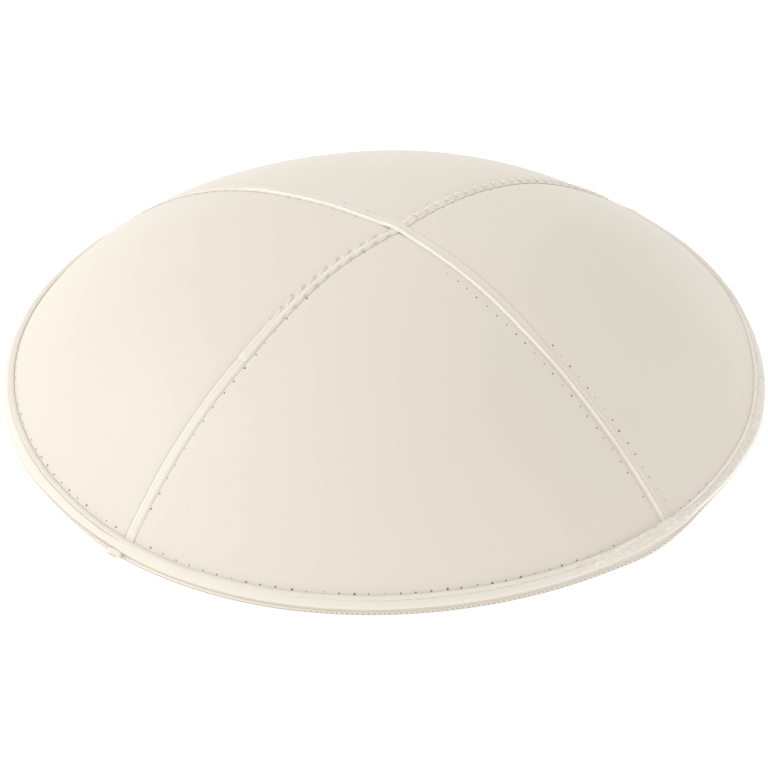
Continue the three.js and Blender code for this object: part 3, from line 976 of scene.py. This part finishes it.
THREADS = {
    "thread_seam_front_right": edge_threads(HOLE_ROWS[2], seam_rows[2], 54.0, 92.0),
    "thread_rim": rim_threads(299.0, 309.0),
    "thread_zigzag_front_left": zigzag_threads(SEAMS["front_left"], 5.0, 44.0, 0.3, -1.5),
    "thread_zigzag_back_right": zigzag_threads(SEAMS["back_right"], 5.0, 86.0, 1.35, -1.35),
}
for name, lines in THREADS.items():
    threads = thread_object(name, lines)
    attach(threads, "root")


# ---------- Rim binding ----------
# A strip of thin pale leather folded round the lower edge of the panels and stitched down. Its
# ends lap near the front right seam, and a small tab of it sticks out at the front left one.

BINDING = 0.9
FOLD_GAP = 0.3
BINDING_FOOT = 1.6
LAP = {"from": 303.0, "to": 322.0, "ramp": 3.0, "thickness": 0.35}
LUG = {"bearing": 226.9, "reach": 1.6, "width": 3.3, "thickness": 1.05}
BINDING_SECTIONS = 1680
BINDING_CREAM = [(0.795, 0.743, 0.652), (0.82, 0.768, 0.677)]
# The binding's colour carries wear and painted light: painted highlights on its pale lines, painted shade
# in its groove, along its outlines and inside the fold.
binding_leather = leather_finish("pale_binding_leather", BINDING_CREAM, 0.42, 1500.0, 0.35, True)


def binding_sections():
    """Points round the binding's section, and their wear and painted light, at bearings all the way round.
    """
    bearing = np.arange(BINDING_SECTIONS) * 360.0 / BINDING_SECTIONS
    ones = np.ones(BINDING_SECTIONS)
    steep = edge_steepness_at(bearing)[:, None]
    edge = np.column_stack([plan_on(ones, bearing), height_on(ones, bearing)])
    away, upright = outward(bearing), np.array([0, 0, 1.0])
    down = away * np.cos(steep) - upright * np.sin(steep)
    out = away * np.sin(steep) + upright * np.cos(steep)
    run = np.radians(bearing) * EDGE_RADIUS

    def window(low, high, ramp):
        """1 between two bearings, 0 outside, smooth over the ramp at each end."""
        apart = np.abs(turn_from(bearing, (low + high) / 2))
        return 1 - fade(apart, (high - low) / 2, (high - low) / 2 + ramp)

    lapped = window(LAP["from"] + LAP["ramp"], LAP["to"] - LAP["ramp"], LAP["ramp"])
    stitched = 0.5 + 0.5 * np.cos(np.radians(bearing) * RIM_STITCHES)
    uneven = wander(run, 11)
    ragged = window(312, 320, 4)
    crumpled = wander(run * 5.0, 14) * window(303, 322, 4)
    swell = 0.55 * peak(turn_from(bearing, 312), 0, 4.5) - 0.5 * peak(turn_from(bearing, 328), 0, 4.5)
    over_tape = np.zeros(BINDING_SECTIONS)
    for name, seam in SEAMS.items():
        apart = np.radians(turn_from(bearing, seam["bearing"])) * EDGE_RADIUS
        over_tape += (0.10 if name == "back_left" else 0.25) * peak(apart, 0, 2.0)
    left = window(132, 222, 10)
    right = window(326, 376, 6)
    back = 1 - fade(np.abs(turn_from(bearing, 42.0)), 18, 38)
    face = 1.02 + LAP["thickness"] * lapped + 0.05 * uneven + over_tape + 0.10 * crumpled
    face = face - 0.05 * left - 0.2 * back - 0.15 * right
    top = -band_reach_at(bearing) - 0.15 * ragged + 0.06 * uneven + 0.22 * ragged * wander(run * 4.0, 15)
    lifted = 0.35 * window(165, 214, 14) + 0.7 * window(334, 372, 12)
    swept_in = 0.35 * window(150, 216, 12) + 1.1 * window(326, 375, 12)
    wide = 0.7 * window(158, 200, 14) + 0.9 * window(350, 392, 14)
    tuck = 0.45 * right - wide

    worn = window(262, 375, 8)
    teeth = 0.5 + 0.5 * np.sin(2 * np.pi * run / 1.15 + 1.5 * wander(run, 12))
    front = window(258, 300, 6)
    ticks = 0.5 + 1.2 * np.sin(2 * np.pi * run / 2.6 + 2 * wander(run, 13))
    ticks = window(270, 302, 6) * np.clip(ticks, 0, 1)
    slant = 0.03 * window(322, 376, 6)

    def at(slope, lift):
        """A point so far down the slope from the leather's edge, and so far out from the leather."""
        seat = edge + down * np.minimum(slope * ones, 0)[:, None]
        fraction, turned, _ = leather_over(seat[:, 0], seat[:, 1])
        point = edge + down * (slope * ones)[:, None] + out * (lift * ones)[:, None]
        point[:, 2] += height_on(fraction, turned) - seat[:, 2]
        return point

    inner = -LEATHER - FOLD_GAP
    lining = inner - BINDING
    heel = at(1.2, lining)

    def on_floor(reach, height):
        """A point so far out from the inside's lowest point, and so high above the floor."""
        point = heel + away * (reach * ones)[:, None]
        point[:, 2] = height + lifted
        return point

    def weave(place):
        return slant * np.sin(2 * np.pi * (run / 1.1 + place / 1.5))

    def mottle(place):
        """The uneven wear along the strip at one place across it."""
        twill = np.sin(2 * np.pi * (run / 1.3 + place / 1.2))
        twill *= np.sin(2 * np.pi * (run / 0.9 - place / 2.0) + uneven)
        specks = np.random.default_rng(int(place * 100)).normal(size=BINDING_SECTIONS)
        specks = (specks + np.roll(specks, 1) + np.roll(specks, 2)) / 1.7
        mended = window(301, 322, 3)
        flecks = np.clip(specks - 0.2, 0, 2)
        rubbed = 0.08 * right * twill + 0.13 * right * specks
        return rubbed + mended * (0.42 * flecks - 0.10) + 0.02 * right

    bitten = 0.10 * stitched
    groove = 0.26 * left + 0.05 * front
    # Painted shade in the groove between face and lip, with darker painted dashes at the ticks.
    groove_painted_shade = 0.95 * left * (0.75 + 0.25 * uneven) + 0.22 * front + 0.35 * ticks
    low = FOLD_GAP - 0.42
    lip = BINDING_FOOT + swell * 0.8 - swept_in
    tone = 0.10 - 0.02 * left - 0.20 * right
    narrow = np.clip((-top - 0.6) / 1.5, 0.3, 1.0)  # closes the face's rows up where the band is narrow
    frayed = teeth * worn
    rows = [  # (points, wear and painted light), from the top edge down the face and round the foot
        # Top edge: painted shade along the crevice with the leather and down the left side; painted light
        # at the right and back against that crevice's shade.
        (at(top + 0.10, low + 0.02), -0.2 + 0.6 * right + 0.4 * ragged + 0.5 * back),
        (at(top, 0.08), -0.2 + 0.7 * right + 0.4 * ragged - 0.4 * left + 0.5 * back),
        (at(top + 0.05, face * (0.22 - 0.10 * left) - 0.5 * bitten),
         0.6 * right + 0.1 * ragged - 0.5 * left),
        (at(top + 0.15, face * (0.42 - 0.12 * left) - 0.8 * bitten), 0.9 * right + 0.2 * ragged),
        (at(top + 0.29, face * (0.64 - 0.10 * left) - 0.7 * bitten), 0.8 * right + tone + mottle(0.2)),
        (at(top + 0.50 * narrow, face * (0.86 - 0.06 * left) - 0.4 * bitten), tone + mottle(0.5)),
        (at(top + 0.78 * narrow, face + weave(0.8)), tone + mottle(0.8)),
        (at(top + 0.96 * narrow, face + 0.01 - 0.3 * groove + weave(1.0)), tone + mottle(1.0)),
        (at(top + 1.08 * narrow, face + 0.01 - groove - 0.04 * ticks + weave(1.1)),
         mottle(1.1) - groove_painted_shade),
        (at(top + 1.20 * narrow, face + 0.02 - 0.3 * groove + weave(1.2)), tone + mottle(1.2)),
        (at(top + 1.45 * narrow, face + 0.03 + weave(1.4)), tone + mottle(1.45)),
        (at(np.clip(top + 1.90, -0.75, -0.45), face + 0.03 + weave(1.9) + swell * 0.3), tone + mottle(1.9)),
        (at(-0.30 + 0.4 * wide, face + 0.01 + weave(2.3) + swell * 0.6), tone + mottle(2.3)),
        # Round the roll: a painted highlight for the pale outer line at the right, then painted shade for
        # the dark outline at the right and left.
        (at(0.08 - 0.7 * tuck, face - 0.05 + weave(2.7) + swell * 0.9), tone + 0.3 * right + mottle(2.7)),
        (at(0.28 - 0.9 * tuck, face - 0.11 + swell), tone + 0.9 * right - 0.1 * left),
        (at(0.48 - tuck, face - 0.20 + swell), 1.0 * right - 0.4 * left),
        (at(0.62 - tuck, face - 0.31 + swell), 1.0 * right - 0.9 * left),
        (at(0.74 - tuck, face - 0.42 + swell), 0.2 * right - 1.0 * left),
        (at(0.86 - tuck, face - 0.58 + swell), -0.10 - 0.9 * right - 0.8 * left),
        (at(0.92 - tuck, face - 0.82 + swell * 0.9), -0.2 - 0.8 * right - 0.6 * left),
        (at(0.86 - tuck, face - 1.00 + swell * 0.8), -0.25 - 0.7 * right - 0.4 * left),
        # At the foot: a paler sliver, darker between the frayed teeth at the front and right, then painted
        # shade for the dark contact outline along the floor.
        (on_floor(lip + 0.10, 0.86), -0.1 - 0.3 * right),
        (on_floor(lip + 0.40 - 0.12 * frayed, 0.78), 0.4 - 0.6 * worn * (1 - teeth)),
        (on_floor(lip + 0.53 - 0.18 * frayed, 0.60), 0.3 - 1.0 * frayed),
        (on_floor(lip + 0.56 - 0.18 * frayed, 0.40), -0.8 * (1 - worn) - 1.0 * frayed),
        (on_floor(lip + 0.48 - 0.14 * frayed, 0.17), -1.0),
        (on_floor(lip + 0.20, 0.0), -1.0),
        (on_floor(0.8 - 0.4 * swept_in, 0.0), -0.2),
        (on_floor(0.0, 0.0), 0.0),
        (on_floor(-0.25, 0.35), 0.0),
    ]
    inside = [  # (down the slope, out from the leather, wear and painted light); the faces in the fold's gap are painted darker, as shade
        (0.2, lining, 0.0), (-1.0, lining, 0.0), (-BAND_REACH + 0.15, lining, 0.0),
        (-BAND_REACH, lining + 0.3, 0.0), (-BAND_REACH, inner, -0.3), (-0.6, inner, -0.3),
        (0.28, inner, -0.3), (0.28, low, -0.3), (-0.8, low, -0.3),
    ]
    rows += [(at(slope, lift), wear_and_painted_light) for slope, lift, wear_and_painted_light in inside]
    points = np.stack([row[0] for row in rows], 1)
    wear_and_painted_light = np.stack([row[1] * ones for row in rows], 1)
    return points, np.clip(wear_and_painted_light, -1, 1)


def tab_sections():
    """A thick little tongue of binding leather, from under the fold outward, with three pricks in it."""
    bearing = LUG["bearing"]
    along, side = outward(np.array(bearing)), outward(np.array(bearing + 90))
    start = along * (edge_radius_at(bearing) + 0.4)
    reach = np.linspace(0, 1, 15)
    turned = np.linspace(0, 2 * np.pi, 28, endpoint=False)
    sections, wear_and_painted_light = [], []
    for share in reach:
        wide = LUG["width"] / 2 * (1.1 - 0.35 * share) * np.sqrt(max(1 - share**4, 0.02))
        wide *= 1 + 0.06 * np.sin(9 * share)
        thick = LUG["thickness"] / 2 * np.sqrt(max(1 - share**8, 0.04))
        across = wide * np.sign(np.cos(turned)) * np.abs(np.cos(turned)) ** 0.6
        up = thick * np.sign(np.sin(turned)) * np.abs(np.sin(turned)) ** 0.7
        pricks = sum(peak(across, middle, 0.20) for middle in (-0.85, 0.0, 0.8)) * peak(share, 0.80, 0.09)
        up = up - 0.35 * pricks * (np.sin(turned) > 0.3) + 0.05 * np.sin(7 * across + 11 * share)
        height = 1.45 - 0.55 * share
        sections.append(start + along * (LUG["reach"] * share + 0.6) + side * across[:, None]
                        + np.array([0, 0, 1.0]) * (height + up)[:, None])
        # Pale leather, with painted shade in the three pricks and on the underside.
        wear_and_painted_light.append(0.35 - 1.3 * pricks * (np.sin(turned) > 0.3) - 0.4 * (np.sin(turned) < -0.2))
    return np.array(sections), np.clip(np.array(wear_and_painted_light), -1, 1)


points, wear_and_painted_light = tab_sections()
tab = sweep_object("rim_binding_tab", points, wear_and_painted_light, False, [binding_leather])
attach(tab, "root")

points, wear_and_painted_light = binding_sections()
binding = sweep_object("rim_binding_leather", points, wear_and_painted_light, True, [binding_leather])
binding.data.set_sharp_from_angle(angle=np.radians(70))
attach(binding, "root")
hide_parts("rim_binding")
